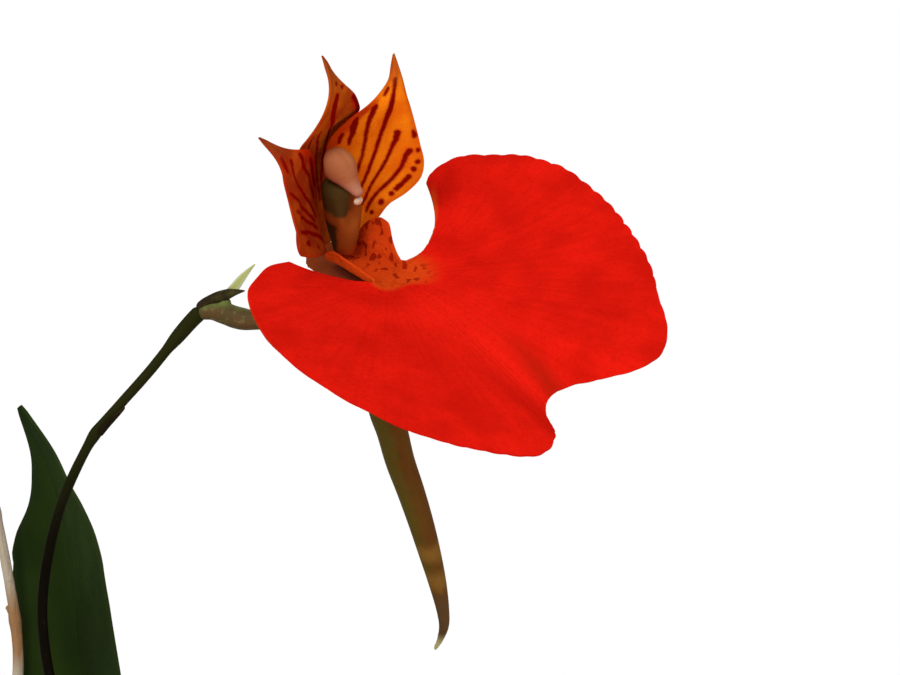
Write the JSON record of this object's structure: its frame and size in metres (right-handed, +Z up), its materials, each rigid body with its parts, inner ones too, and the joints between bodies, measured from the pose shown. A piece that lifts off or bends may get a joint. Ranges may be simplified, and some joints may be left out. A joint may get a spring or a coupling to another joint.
{
  "type": "potted comparettia speciosa",
  "caption": "Flowering orchid with a broad notched scarlet lip and a long hooked spur, its leaves on pseudobulbs, rooted in bark in a plain clay pot.",
  "frame": {"origin": "centre of the pot's foot, on the surface that the pot stands on", "axes": "+Z up; -Y towards the viewer that the flower faces; +X towards the flower's broad far lobe"},
  "size_m": [0.1272, 0.1124, 0.2291],
  "materials": {
    "terracotta": "matte",
    "bark": "matte",
    "rhizome": "matte",
    "pseudobulb": "satin",
    "sheath": "matte",
    "leaf": "satin",
    "root": "matte",
    "stem": "satin",
    "old_stalk": "matte",
    "bract": "matte",
    "ovary": "satin",
    "bud_scale": "satin",
    "petal": "satin",
    "spur": "matte",
    "lip": "satin",
    "column": "satin",
    "anther": "satin"
  },
  "bodies": {
    "root": {"pot": "terracotta", "potting_bark": "bark", "rhizome": "rhizome", "pseudobulb_1": "pseudobulb", "pseudobulb_2": "pseudobulb", "pseudobulb_3": "pseudobulb", "pseudobulb_4": "pseudobulb", "pseudobulb_5": "pseudobulb", "pseudobulb_6": "pseudobulb", "sheath_1": "sheath", "sheath_2": "sheath", "sheath_3": "sheath", "sheath_4": "sheath", "sheath_5": "sheath", "sheath_6": "sheath", "leaf_1": "leaf", "leaf_2": "leaf", "leaf_3": "leaf", "leaf_4": "leaf", "leaf_5": "leaf", "leaf_6": "leaf", "root_1": "root", "root_2": "root", "root_3": "root", "root_4": "root", "root_5": "root", "flower_stem": "stem", "stem_bract_1": "bract", "stem_bract_2": "bract", "stem_bract_3": "bract", "spent_stalk": "old_stalk", "pedicel_ovary": "ovary", "floral_bract": "ovary", "bud_scale": "bud_scale", "dorsal_sepal": "petal", "petal_near": "petal", "petal_far": "petal", "synsepal_spur": "spur", "lip": "lip", "column": "column", "anther_cap": "anther"}
  },
  "joints": []
}
